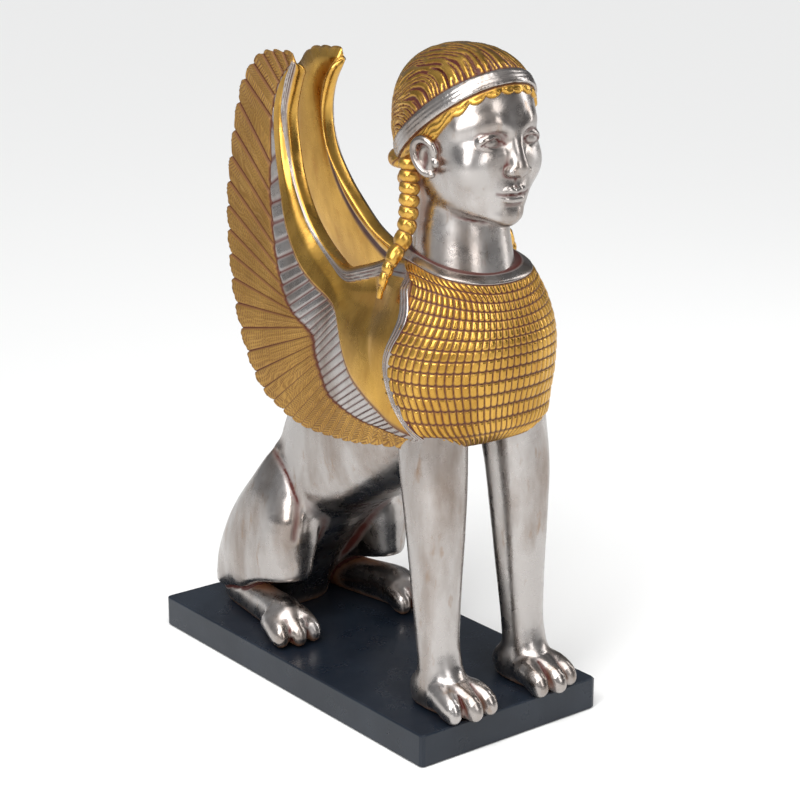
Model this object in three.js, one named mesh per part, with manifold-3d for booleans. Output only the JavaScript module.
// A seated winged sphinx cast in one piece, on its own board.
// Millimetres, +Z up. The origin is the middle of the board's underside, and the
// figure faces -Y, so its left side is +X.
import * as THREE from "three";
import Module from "manifold-3d";

const wasm = await Module();
wasm.setup();
const { clamp, lerp, smoothstep } = THREE.MathUtils;

// ---------------------------------------------------------------- driving sizes
const BOARD = { width: 202, length: 410, height: 30, corner: 3, bevel: 1.2 };
const GROUND = BOARD.height;

// Upright bodies: z, middle x, middle y, half width, half depth
const TRUNK = [
  [GROUND - 4, 0, 149, 44, 42],
  [55, 0, 143, 46, 49],
  [88, 0, 130, 49, 58],
  [109, 0, 116, 51, 62],
  [128, 0, 101, 53, 64],
  [148, 0, 83, 56, 65],
  [164, 0, 63, 58, 70],
  [182, 0, 38, 60, 80],
  [205, 0, 16, 61, 92],
  [235, 0, -7, 63, 102],
  [270, 0, -30, 65, 105],
  [305, 0, -43, 66, 96],
  [340, 0, -55, 63, 82],
  [370, 0, -72, 55, 60],
  [392, 0, -92, 45, 42],
  [408, 0, -110, 36, 28],
  [416, 0, -120, 24, 16],
];
const HAUNCH = [
  [48, 54, 112, 14, 67],
  [62, 56, 104, 20, 68],
  [85, 56, 97, 25, 67],
  [108, 55, 90, 28, 63],
  [130, 53, 83, 29, 59],
  [153, 51, 75, 29, 51],
  [176, 49, 70, 25, 37],
  [196, 46, 72, 16, 22],
  [207, 44, 74, 8, 10],
];
const FORELEG = [
  [34, 49, -160, 18, 22],
  [48, 49, -162, 18.5, 23],
  [64, 49, -165, 18.5, 21],
  [87, 48.7, -162, 18.3, 19],
  [110, 48.5, -160, 19.3, 20],
  [145, 48, -158, 21.5, 22.5],
  [190, 47.5, -156, 24.5, 26],
  [235, 47, -153, 27.5, 29],
  [285, 44, -146, 28, 33],
];
const BREAST = [
  [268, 0, -125, 72, 54],
  [274, 0, -125, 75, 60],
  [283, 0, -126, 79, 65],
  [300, 0, -126, 81, 67],
  [325, 0, -128, 82, 70],
  [358, 0, -130, 79.5, 71],
  [386, 0, -133, 71, 62.5],
  [409, 0, -134, 59, 53],
  [424, 0, -134, 48.5, 46],
  [430, 0, -134, 43, 42],
];
// The breast's border on the flank: z, y
const BORDER = [
  [266, -175],
  [275, -169],
  [297, -142],
  [312, -132],
  [328, -126],
  [342, -127],
  [358, -133],
  [378, -144],
  [396, -148],
  [410, -142],
  [420, -124],
  [431, -110],
];
const NECK = [
  [405, 0, -133, 45, 46],
  [428, 0, -132, 42, 43],
  [445, 0, -131, 40, 41],
  [470, 0, -132, 37.3, 38],
  [492, 0, -134, 38, 40],
];
// The skull and face without their features
const SKULL = [
  [460, 0, -162, 14, 23],
  [463, 0, -157, 25, 34],
  [470, 0, -151, 34, 43],
  [482, 0, -145, 41, 51],
  [500, 0, -138, 47, 60],
  [525, 0, -134, 50, 66],
  [550, 0, -133, 50, 67],
  [572, 0, -134, 44, 61],
  [587, 0, -136, 33, 46],
  [596, 0, -138, 19, 27],
  [599, 0, -139, 8, 11],
];
const HAIR_DEPTH = 3.2;

// Limbs laid along a path: place 0..1, x, y, z, half width, half height
const SHIN = [
  [0, 62, 52, 160, 13, 18],
  [0.25, 68, 43, 141, 15, 17],
  [0.5, 70, 60, 112, 13, 16],
  [0.75, 67, 84, 84, 12, 15],
  [1, 62, 104, 64, 12, 14],
];
const HIND_FOOT = [
  [0, 50, 164, 43, 7, 11],
  [0.1, 51, 152, 45, 11.5, 16],
  [0.35, 56, 112, 48, 14, 19],
  [0.6, 61, 78, 49, 15, 19.5],
  [0.8, 66, 50, 50, 18, 20],
  [0.93, 68, 38, 49, 20, 18],
  [1, 69, 30, 46, 19, 13],
];
const FORE_FOOT = [
  [0, 47, -136, 41, 9, 8],
  [0.2, 48, -148, 45, 15, 15],
  [0.5, 48.5, -170, 47, 18.5, 20],
  [0.8, 48.5, -188, 45, 22.5, 17],
  [1, 48.5, -194, 41, 22, 11],
];
// One toe from its root to its tip, where it narrows into the claw: place, forward,
// height above the board, half width, half height
const TOE = [
  [0, -14, 18, 7, 10],
  [0.3, -4, 20, 8.4, 11],
  [0.7, 10, 15, 7.8, 11],
  [0.84, 13.5, 11.5, 3.2, 7],
  [1, 20, 6.5, 1.4, 2.6],
];
const FORE_TOES = [
  { x: 31, y: -196, turn: -6 },
  { x: 48.5, y: -199, turn: 0 },
  { x: 65, y: -192, turn: 7 },
];
const HIND_TOES = [
  { x: 55, y: 32, turn: -4 },
  { x: 71, y: 30, turn: 4 },
  { x: 85, y: 37, turn: 9 },
];

// Wing borders against the feather number: 0 at the breast, 33 at the tip
const FEATHERS = 33;
const COVERTS = 27;
const LEADING = [
  [0, 48, -126, 418],
  [3, 49, -91, 415],
  [6, 49, -70, 408],
  [9, 49, -51, 402],
  [13, 47, -26, 396],
  [17, 41, 1, 402],
  [20, 37, 28, 416],
  [22, 35, 48, 433],
  [24, 31, 69, 458],
  [26, 27, 84, 487],
  [28, 26, 90, 520],
  [30, 25.5, 84, 545],
  [33, 27, 72, 567],
];
// The outer faces: feather number, y, z
const COVERT_EDGE = [
  [0, -167, 277],
  [3, -136, 285],
  [6, -117, 295],
  [9, -94, 307],
  [11, -77, 317],
  [13, -60, 333],
  [15, -45, 352],
  [17, -34, 364],
  [19, -19, 371],
  [21, 12, 380],
  [23, 42, 395],
  [25, 74, 428],
  [27, 97, 478],
  [28.5, 104, 520],
  [30, 96, 547],
  [33, 75, 569],
];
const ROOTS = [
  [0, -167, 275],
  [3, -122, 279],
  [6, -89, 280],
  [9, -56, 285],
  [11, -37, 292],
  [13, -24, 308],
  [15, -13, 323],
  [17, -5, 337],
  [20, 32, 351],
  [22, 55, 370],
  [24, 79, 400],
  [26, 101, 445],
  [27, 105, 470],
  [28, 107, 513],
  [30, 97, 547],
  [33, 75, 570],
];
const TIPS = [
  [0, -167, 271],
  [3, -116, 265],
  [6, -72, 257],
  [9, -26, 253],
  [11, 7, 253],
  [13, 34, 260],
  [15, 66, 273],
  [17, 92, 302],
  [20, 132, 363],
  [22, 156, 404],
  [24, 170, 447],
  [26, 168, 495],
  [27, 162, 522],
  [28, 153, 545],
  [30, 124, 571],
  [33, 76, 576],
];
// How the breast's border bows away from a straight line, down its length
const FRONT_BOW = [
  [0, 0],
  [0.25, -13],
  [0.55, 14],
  [0.8, 13],
  [1, 0],
];
// The outer face's distance from the middle plane: z, x
const FLANK = [
  [235, 72],
  [300, 72],
  [350, 64],
  [400, 49],
  [450, 37],
  [500, 31.5],
  [580, 27.5],
];
const SHOULDER = { y: -110, z: 335, reach: 66, swell: 13 };
const WING_RIM = 13;
const WING_THIN = { hollow: 7, roots: 8, tips: 3.6 };
const FEATHER_STEP = 2.2;
const TIP_ROUND = 3.4;
const PIPING = { proud: 1.8, width: 0.8, across: 0.09 };
const PLAIN_COLUMNS = 15;
const INNER_COLUMNS = 10;

const SCALE_ROWS = 15;
const SCALE_STEP = 1.5;
const BREAST_COLUMNS = 13;
const SQUARE_BREAST = 2.5;
const BREAST_BACK = -85;
// Hair ends on a plane that tilts down to the nape; the band lies parallel to it
const BAND = { tilt: 36, middle: 540, half: 7, proud: 5.2 };
const HAIRLINE = -18;
const STRAND_DEPTH = 1;
const CAP_STRANDS = 17;
const BRAID = [
  [0, 50, -122, 510, 9, 9],
  [0.35, 50, -122, 478, 8.6, 8.6],
  [0.62, 51, -120, 452, 8, 8],
  [0.76, 56, -118, 436, 7.4, 7.4],
  [0.86, 64, -117, 425, 6.4, 6.4],
  [0.95, 72, -115, 408, 4.2, 4.2],
  [1, 75, -113, 392, 2.4, 2.4],
];
const BRAID_BEADS = 9;
const NAPE_ROLLS = [
  { y: -70, z: 503, reach: 40, thick: 10 },
  { y: -76, z: 486, reach: 34, thick: 8 },
];

// -------------------------------------------------------------------- materials
// How square the level sections are: 2 is an ellipse
const SQUARE = { trunk: 2.3, leg: 2.2, limb: 2.3, skull: 2.15, hair: 2.1, neck: 2.1 };
const FACE_CROWDING = 0.42; // the face's columns crowd towards the front by this, in radians
const FACE_LEVELS = [
  460, 464, 469, 475, 480, 483, 487, 492, 498, 502, 508, 518, 525, 530, 535, 541, 549, 568, 599,
];
const HEAD_MIDDLE_Y = -134;
const HAIR_GROWTH = { up: 0.6, back: 0.7 }; // shares of the hair's thickness
const BEAD_WAIST = 0.72; // a bead's narrowest part, as a share of its widest
const ROLL_WAIST = 0.85;
const SILVER = { color: 0xb9b2a8, roughness: 0.3, metalness: 1 };
const BLACK = { color: 0x1b1d22, roughness: 0.45, metalness: 0 };

// ------------------------------------------------------------------ small tools
// The value columns of a smooth curve through rows that each start with a key
function at(rows, key) {
  const last = rows.length - 1;
  let i = 0;
  while (i < last - 1 && key > rows[i + 1][0]) i += 1;
  const [a, b] = [rows[i], rows[i + 1]];
  const span = b[0] - a[0];
  const t = clamp((key - a[0]) / span, 0, 1);
  const slope = (j, k) => {
    const [p, q] = [rows[Math.max(j - 1, 0)], rows[Math.min(j + 1, last)]];
    return ((q[k] - p[k]) / (q[0] - p[0])) * span;
  };
  return a.slice(1).map((_, n) => {
    const k = n + 1;
    const rise = b[k] - a[k];
    const [m0, m1] = [slope(i, k), slope(i + 1, k)];
    return a[k] + t * (m0 + t * (3 * rise - 2 * m0 - m1 + t * (m0 + m1 - 2 * rise)));
  });
}

// Evenly spaced keys from the first to the last, count of them
function keys(first, last, count) {
  return Array.from({ length: count }, (_, i) => lerp(first, last, i / (count - 1)));
}

// A closed body from points and triangles, turned to face out
function bodyOf(points, triangles) {
  const cross = new THREE.Vector3();
  const volume = triangles.reduce(
    (sum, [a, b, c]) => sum + cross.crossVectors(points[b], points[c]).dot(points[a]),
    0,
  );
  const facing = volume < 0 ? ([a, b, c]) => [a, c, b] : (t) => t;
  return new wasm.Manifold(
    new wasm.Mesh({
      numProp: 3,
      vertProperties: new Float32Array(points.flatMap((p) => p.toArray())),
      triVerts: new Uint32Array(triangles.flatMap(facing)),
    }),
  );
}

// A closed body through rings with the same number of points
function loft(rings) {
  const sides = rings[0].length;
  const points = rings.flat();
  const triangles = [];
  for (let r = 0; r < rings.length - 1; r += 1) {
    for (let s = 0; s < sides; s += 1) {
      const [a, b] = [r * sides + s, r * sides + ((s + 1) % sides)];
      triangles.push([a, b, b + sides], [a, b + sides, a + sides]);
    }
  }
  [rings[0], rings[rings.length - 1]].forEach((ring, end) => {
    const middle = points.length;
    const first = end * (rings.length - 1) * sides;
    points.push(ring.reduce((m, p) => m.add(p), new THREE.Vector3()).divideScalar(sides));
    for (let s = 0; s < sides; s += 1) {
      const edge = [first + s, first + ((s + 1) % sides)];
      triangles.push(end ? [middle, ...edge] : [middle, ...edge.reverse()]);
    }
  });
  return bodyOf(points, triangles);
}

// A superellipse's unit point at an angle: 2 is an ellipse, more is squarer
function rounded(angle, squareness) {
  const power = 2 / squareness;
  const bend = (v) => Math.sign(v) * Math.abs(v) ** power;
  return [bend(Math.cos(angle)), bend(Math.sin(angle))];
}

function angles(sides) {
  return Array.from({ length: sides }, (_, i) => ((i + 0.5) / sides) * 2 * Math.PI);
}

// One level ring of an upright body
function level(rows, z, side, turns, squareness, grow = () => 0) {
  const [x, y, a, b] = at(rows, z);
  return turns.map((turn) => {
    const [p, q] = rounded(turn, squareness);
    const more = grow(turn, z);
    return new THREE.Vector3(side * x + (a + more) * p, y + (b + more) * q, z);
  });
}

// An upright body from its rows, mirrored by side
function stack(rows, side, levels, sides, squareness) {
  const zs = keys(rows[0][0], rows[rows.length - 1][0], levels);
  return loft(zs.map((z) => level(rows, z, side, angles(sides), squareness)));
}

// A limb along its path; size gives a factor on the section at each place
function limb(rows, side, places, sides, size = () => 1) {
  const scratch = new THREE.Vector3();
  const rings = places.map((place) => {
    const [x, y, z, a, b] = at(rows, place);
    const ahead = at(rows, Math.min(place + 0.02, 1));
    const behind = at(rows, Math.max(place - 0.02, 0));
    const way = new THREE.Vector3(...[0, 1, 2].map((k) => ahead[k] - behind[k])).normalize();
    const across = new THREE.Vector3(1, 0, 0).addScaledVector(way, -way.x).normalize();
    const up = scratch.crossVectors(way, across).clone();
    return angles(sides).map((turn) => {
      const [p, q] = rounded(turn, SQUARE.limb);
      const point = new THREE.Vector3(x, y, z);
      point.addScaledVector(across, a * p * size(place));
      point.addScaledVector(up, b * q * size(place));
      point.x *= side;
      return point;
    });
  });
  return loft(rings);
}

// Any three.js geometry as a closed body, placed by a matrix
function solidFrom(geometry, matrix = new THREE.Matrix4()) {
  const position = geometry.getAttribute("position");
  const points = [];
  const seen = new Map();
  const shared = Array.from({ length: position.count }, (_, i) => {
    const point = new THREE.Vector3().fromBufferAttribute(position, i);
    const key = point.toArray().map((v) => Math.round(v * 1e4)).join();
    if (!seen.has(key)) seen.set(key, points.push(point.applyMatrix4(matrix)) - 1);
    return seen.get(key);
  });
  const order = geometry.index ? Array.from(geometry.index.array) : shared.map((_, i) => i);
  const triangles = [];
  for (let i = 0; i < order.length; i += 3) {
    const corners = order.slice(i, i + 3).map((k) => shared[k]);
    if (new Set(corners).size === 3) triangles.push(corners);
  }
  return bodyOf(points, triangles);
}

function placed(x, y, z, sizes, turns = [0, 0, 0]) {
  const turn = new THREE.Euler(...turns.map(THREE.MathUtils.degToRad));
  return new THREE.Matrix4().compose(
    new THREE.Vector3(x, y, z),
    new THREE.Quaternion().setFromEuler(turn),
    new THREE.Vector3(...sizes),
  );
}

function lump(x, y, z, sizes, turns, sides = 8) {
  const ball = new THREE.SphereGeometry(1, sides, Math.ceil(sides / 2) + 1);
  return solidFrom(ball, placed(x, y, z, sizes, turns));
}

function joined(bodies) {
  return bodies.reduce((all, next) => all.add(next));
}

// ------------------------------------------------------------------------- wing
function flank(y, z) {
  const [x] = at(FLANK, clamp(z, FLANK[0][0], FLANK[FLANK.length - 1][0]));
  const away = ((y - SHOULDER.y) ** 2 + (z - SHOULDER.z) ** 2) / SHOULDER.reach ** 2;
  return x + SHOULDER.swell * Math.exp(-away);
}

// How far out the breast stands behind its border
function breastSide(y, z) {
  if (z < BREAST[0][0]) return 0;
  const [, middle, halfWidth, halfDepth] = at(BREAST, z);
  const share = Math.min(Math.abs(y - middle) / halfDepth, 0.99);
  return halfWidth * (1 - share ** SQUARE_BREAST) ** (1 / SQUARE_BREAST);
}

// The bare outer face at a feather number: 0 leading, 1 covert edge, 2 roots, 3 tips
function wingFace(number, across) {
  const [leadX, leadY, leadZ] = at(LEADING, number);
  const edge = at(COVERT_EDGE, number);
  const root = at(ROOTS, number);
  const tip = at(TIPS, number);
  if (across <= 1) {
    const bow = at(FRONT_BOW, across)[0] * clamp(1 - number / 5, 0, 1);
    const y = lerp(leadY, edge[0], across) + bow;
    const z = lerp(leadZ, edge[1], across);
    const x = lerp(leadX, flank(y, z), smoothstep(across, 0, 0.45));
    const meeting = (1 - smoothstep(number, 0, 6)) * smoothstep(across, 0, 0.12);
    return [x + meeting * Math.max(breastSide(y, z) - x, 0), y, z];
  }
  const [from, to] = across <= 2 ? [edge, root] : [root, tip];
  const share = across - (across <= 2 ? 1 : 2);
  const [y, z] = [lerp(from[0], to[0], share), lerp(from[1], to[1], share)];
  return [flank(y, z), y, z];
}

// A row of points along the wing at the given feather numbers
function wingRow(side, across, numbers, lift) {
  return numbers.map((number) => {
    const [x, y, z] = wingFace(number, across);
    const point = new THREE.Vector3(side * (x + lift(number)), y, z);
    return { number, point };
  });
}

// Low and high edge of every feather, and its middle where the tip is rounded
function featherNumbers(count, withMiddle) {
  const step = FEATHERS / count;
  const shares = withMiddle ? [0.03, 0.5, 0.97] : [0.03, 0.97];
  return Array.from({ length: count }, (_, i) => shares.map((s) => (i + s) * step)).flat();
}

function sawtooth(count, height) {
  return (number) => height * ((number * count) / FEATHERS - Math.floor((number * count) / FEATHERS) - 0.5);
}

// The two triangulated edges of a strip between rows of unequal length
function zip(from, to, triangles) {
  let [i, j] = [0, 0];
  while (i < from.length - 1 || j < to.length - 1) {
    const nextFrom = i < from.length - 1 ? from[i + 1].number : Infinity;
    const nextTo = j < to.length - 1 ? to[j + 1].number : Infinity;
    if (nextFrom <= nextTo) {
      triangles.push([from[i].id, from[i + 1].id, to[j].id]);
      i += 1;
    } else {
      triangles.push([from[i].id, to[j + 1].id, to[j].id]);
      j += 1;
    }
  }
}

function wing(side) {
  const border = [0, PIPING.width, PIPING.width + 0.05];
  const plain = keys(0, FEATHERS, PLAIN_COLUMNS);
  const gold = [...border, ...plain.slice(1)];
  const inner = keys(0, FEATHERS, INNER_COLUMNS);
  const feather = featherNumbers(FEATHERS, false);
  const coverts = featherNumbers(COVERTS, false);
  const quill = sawtooth(FEATHERS, FEATHER_STEP);
  const short = sawtooth(COVERTS, FEATHER_STEP * 0.6);
  const piped = (number) => (number <= PIPING.width ? PIPING.proud : 0);
  const rim = () => PIPING.proud;
  const inward = (depth) => () => -depth;
  const tips = wingRow(side, 3, featherNumbers(FEATHERS, true), quill);
  tips.forEach(({ number, point }, i) => {
    if (i % 3 !== 1) return;
    const [, y0, z0] = wingFace(number, 2.7);
    const outward = new THREE.Vector3(0, point.y - y0, point.z - z0).setLength(TIP_ROUND);
    point.add(outward);
  });
  const rows = [
    wingRow(side, 0, plain, rim),
    wingRow(side, PIPING.across, gold, rim),
    wingRow(side, PIPING.across + 0.01, gold, piped),
    wingRow(side, 0.55, gold, piped),
    wingRow(side, 1, gold, piped),
    wingRow(side, 1.1, coverts, short),
    wingRow(side, 1.9, coverts, short),
    wingRow(side, 2, feather, quill),
    tips,
    wingRow(side, 2.98, inner, inward(WING_THIN.tips)),
    wingRow(side, 2, inner, inward(WING_THIN.roots)),
    wingRow(side, 0.8, inner, inward(WING_THIN.hollow)),
    wingRow(side, 0.3, inner, inward(WING_THIN.hollow)),
    wingRow(side, 0, inner, inward(WING_RIM)),
  ];
  const points = rows.flat().map((entry, id) => {
    entry.id = id;
    return entry.point;
  });
  const triangles = [];
  rows.forEach((row, i) => zip(row, rows[(i + 1) % rows.length], triangles));
  [0, -1].forEach((end) => {
    const brim = rows.map((row) => row.at(end));
    const middle = points.length;
    points.push(brim.reduce((m, e) => m.add(e.point), new THREE.Vector3()).divideScalar(brim.length));
    brim.forEach((entry, i) => {
      const pair = [entry.id, brim[(i + 1) % brim.length].id];
      triangles.push(end ? [middle, ...pair.reverse()] : [middle, ...pair]);
    });
  });
  return bodyOf(points, triangles);
}

// ------------------------------------------------------------------------ limbs
function toe({ x, y, turn }, side) {
  const angle = THREE.MathUtils.degToRad(turn);
  const rows = TOE.map(([place, along, height, a, b]) => {
    const [cx, cy] = [x + along * Math.sin(angle), y - along * Math.cos(angle)];
    return [place, cx, cy, GROUND + height - 2, a, b];
  });
  return limb(rows, side, TOE.map(([place]) => place), 6);
}

function foreleg(side) {
  return joined([
    stack(FORELEG, side, 6, 10, SQUARE.leg),
    limb(FORE_FOOT, side, keys(0, 1, 5), 10),
    ...FORE_TOES.map((place) => toe(place, side)),
  ]);
}

function hindleg(side) {
  return joined([
    stack(HAUNCH, side, 8, 11, SQUARE.leg),
    limb(SHIN, side, keys(0, 1, 5), 7),
    limb(HIND_FOOT, side, keys(0, 1, 6), 10),
    ...HIND_TOES.map((place) => toe(place, side)),
  ]);
}

// ----------------------------------------------------------------------- breast
function breast() {
  const [bottom, top] = [BREAST[0][0], BREAST[BREAST.length - 1][0]];
  const zs = keys(bottom, top, SCALE_ROWS + 1);
  const ring = (z, lip) => {
    const [, y, a, b] = at(BREAST, z);
    const [border] = at(BORDER, z);
    const share = clamp((y - border) / b, -0.9, 0.9);
    const start = Math.sign(share) * Math.asin(Math.abs(share) ** (SQUARE_BREAST / 2));
    const turns = keys(-start, start - Math.PI, BREAST_COLUMNS);
    const back = [-1, 1].map((end) => new THREE.Vector3(end * a * 0.8, BREAST_BACK, z));
    return [...level(BREAST, z, 1, turns, SQUARE_BREAST, () => lip), ...back];
  };
  return loft(
    zs.slice(0, -1).flatMap((z, i) => [ring(z, SCALE_STEP), ring(zs[i + 1] - 0.4, 0)]),
  );
}

// ------------------------------------------------------------------------- head
function bump(x, z, cx, cz, rx, rz) {
  return Math.exp(-(((x - cx) / rx) ** 2) - ((z - cz) / rz) ** 2);
}

// How far the face stands out of the skull, forwards, at a place on its front
function feature(x, z) {
  const across = Math.abs(x);
  const bridge = smoothstep(z, 499, 506) * (1 - smoothstep(z, 530, 549));
  const taper = lerp(7.5, 4.2, smoothstep(z, 503, 530));
  const nose = bridge * lerp(14, 5, smoothstep(z, 502, 543)) * Math.exp(-((across / taper) ** 2));
  const nostril = 4.5 * bump(across, z, 8, 504, 4, 4.5);
  const socket = -7 * bump(across, z, 19, 531, 14, 8);
  const lids = 4.6 * bump(across, z, 20, 530, 8.5, 4.8);
  const brow = 1.8 * bump(across, z, 19, 543, 15, 3.5);
  const lips = 4 * bump(across, z, 0, 487, 12, 3.2) + 3.6 * bump(across, z, 0, 479.5, 10, 3);
  const mouth = -3 * bump(across, z, 0, 483.2, 14, 1.5);
  const chin = 4 * bump(across, z, 0, 467, 14, 7);
  const cheek = 2.2 * bump(across, z, 27, 507, 14, 13);
  return nose + nostril + socket + lids + brow + lips + mouth + chin + cheek;
}

function face() {
  const turns = angles(22).map((turn) => turn + FACE_CROWDING * Math.cos(turn));
  return loft(
    FACE_LEVELS.map((z) =>
      level(SKULL, z, 1, turns, SQUARE.skull).map((point) => {
        const facing = smoothstep(HEAD_MIDDLE_Y - point.y, 8, 34);
        point.y -= facing * feature(point.x, z);
        return point;
      }),
    ),
  );
}

// A big box whose lower face is parallel to the band's middle plane, this far above it
function abovePlane(offset) {
  const size = 400;
  const tilt = THREE.MathUtils.degToRad(BAND.tilt);
  const up = new THREE.Vector3(0, Math.sin(tilt), Math.cos(tilt));
  const middle = new THREE.Vector3(0, HEAD_MIDDLE_Y, BAND.middle).addScaledVector(up, offset + size / 2);
  const box = new THREE.BoxGeometry(size, size, size);
  return solidFrom(box, placed(middle.x, middle.y, middle.z, [1, 1, 1], [-BAND.tilt, 0, 0]));
}

function hairShell(more, sides, levels, wave = () => 0) {
  const { up, back } = HAIR_GROWTH;
  const rows = SKULL.slice(3).map(([z, x, y, a, b]) => [z + more * up, x, y + more * back, a, b]);
  const climb = (t) => lerp(rows[0][0], rows[rows.length - 1][0], Math.sin((t * Math.PI) / 2));
  const zs = keys(0, 1, levels).map(climb);
  return loft(zs.map((z) => level(rows, z, 1, angles(sides), SQUARE.hair, (turn) => more + wave(turn))));
}

// A string of beads' size along it, as a share of the widest
function beaded(beads, waist) {
  return lerp(waist, 1, Math.abs(Math.sin(beads * Math.PI)));
}

function hair() {
  const strand = (turn) => STRAND_DEPTH * Math.sin(turn * CAP_STRANDS);
  const cap = hairShell(HAIR_DEPTH, CAP_STRANDS * 2, 6, strand).intersect(abovePlane(HAIRLINE));
  const band = hairShell(BAND.proud, 16, 6)
    .intersect(abovePlane(-BAND.half))
    .subtract(abovePlane(BAND.half));
  const rolls = NAPE_ROLLS.map(({ y, z, reach, thick }) => {
    const rows = keys(0, 1, 5).map((t) => {
      const turn = lerp(-0.5, 0.5, t) * Math.PI;
      const fade = lerp(0.5, 1, Math.cos(turn));
      return [t, reach * Math.sin(turn), y - reach * (1 - Math.cos(turn)), z, thick * fade, thick * fade];
    });
    return limb(rows, 1, keys(0, 1, 9), 5, (t) => beaded(t * 4, ROLL_WAIST));
  });
  return [cap, band, ...rolls];
}

function braid(side) {
  const places = keys(0, 1, BRAID_BEADS * 2 + 1);
  return limb(BRAID, side, places, 5, (place) => {
    return beaded(place * BRAID_BEADS, BEAD_WAIST);
  });
}

function ear(side) {
  return lump(side * 52, -140, 513, [4.5, 9.5, 16], [8, 0, side * -14], 8);
}

function head() {
  return joined([
    stack(NECK, 1, 3, 14, SQUARE.neck),
    face(),
    ...hair(),
    ...[-1, 1].flatMap((side) => [ear(side), braid(side)]),
  ]);
}

// --------------------------------------------------------------------- assembly
function figure() {
  const body = [stack(TRUNK, 1, 13, 16, SQUARE.trunk), breast(), head()];
  [-1, 1].forEach((side) => {
    body.push(foreleg(side), hindleg(side), wing(side));
  });
  const below = new THREE.BoxGeometry(500, 700, 100);
  return joined(body).subtract(solidFrom(below, placed(0, 0, GROUND - 50, [1, 1, 1])));
}

function board() {
  const { width, length, height, corner, bevel } = BOARD;
  const [w, l] = [width / 2 - bevel, length / 2 - bevel];
  const shape = new THREE.Shape();
  shape.moveTo(-w + corner, -l);
  [[w, -l, 0, 1], [w, l, -1, 0], [-w, l, 0, -1], [-w, -l, 1, 0]].forEach(([x, y, dx, dy]) => {
    shape.lineTo(x - corner * dy, y + corner * dx);
    shape.quadraticCurveTo(x, y, x + corner * dx, y + corner * dy);
  });
  const options = { depth: height - 2 * bevel, bevelSize: bevel, bevelThickness: bevel };
  const slab = new THREE.ExtrudeGeometry(shape, { ...options, bevelSegments: 1, curveSegments: 2 });
  return slab.translate(0, 0, bevel);
}

function geometryOf(solid) {
  const { numProp, numVert, vertProperties, triVerts } = solid.getMesh();
  const position = new Float32Array(numVert * 3);
  for (let i = 0; i < numVert; i += 1) {
    position.set(vertProperties.subarray(i * numProp, i * numProp + 3), i * 3);
  }
  return new THREE.BufferGeometry()
    .setAttribute("position", new THREE.BufferAttribute(position, 3))
    .setIndex(new THREE.BufferAttribute(triVerts, 1));
}

function piece(name, geometry, finish) {
  const mesh = new THREE.Mesh(geometry, new THREE.MeshStandardMaterial(finish));
  mesh.name = name;
  return mesh;
}

const statue = new THREE.Group();
statue.add(piece("sphinx", geometryOf(figure()), SILVER));
statue.add(piece("plinth", board(), BLACK));

export default statue;
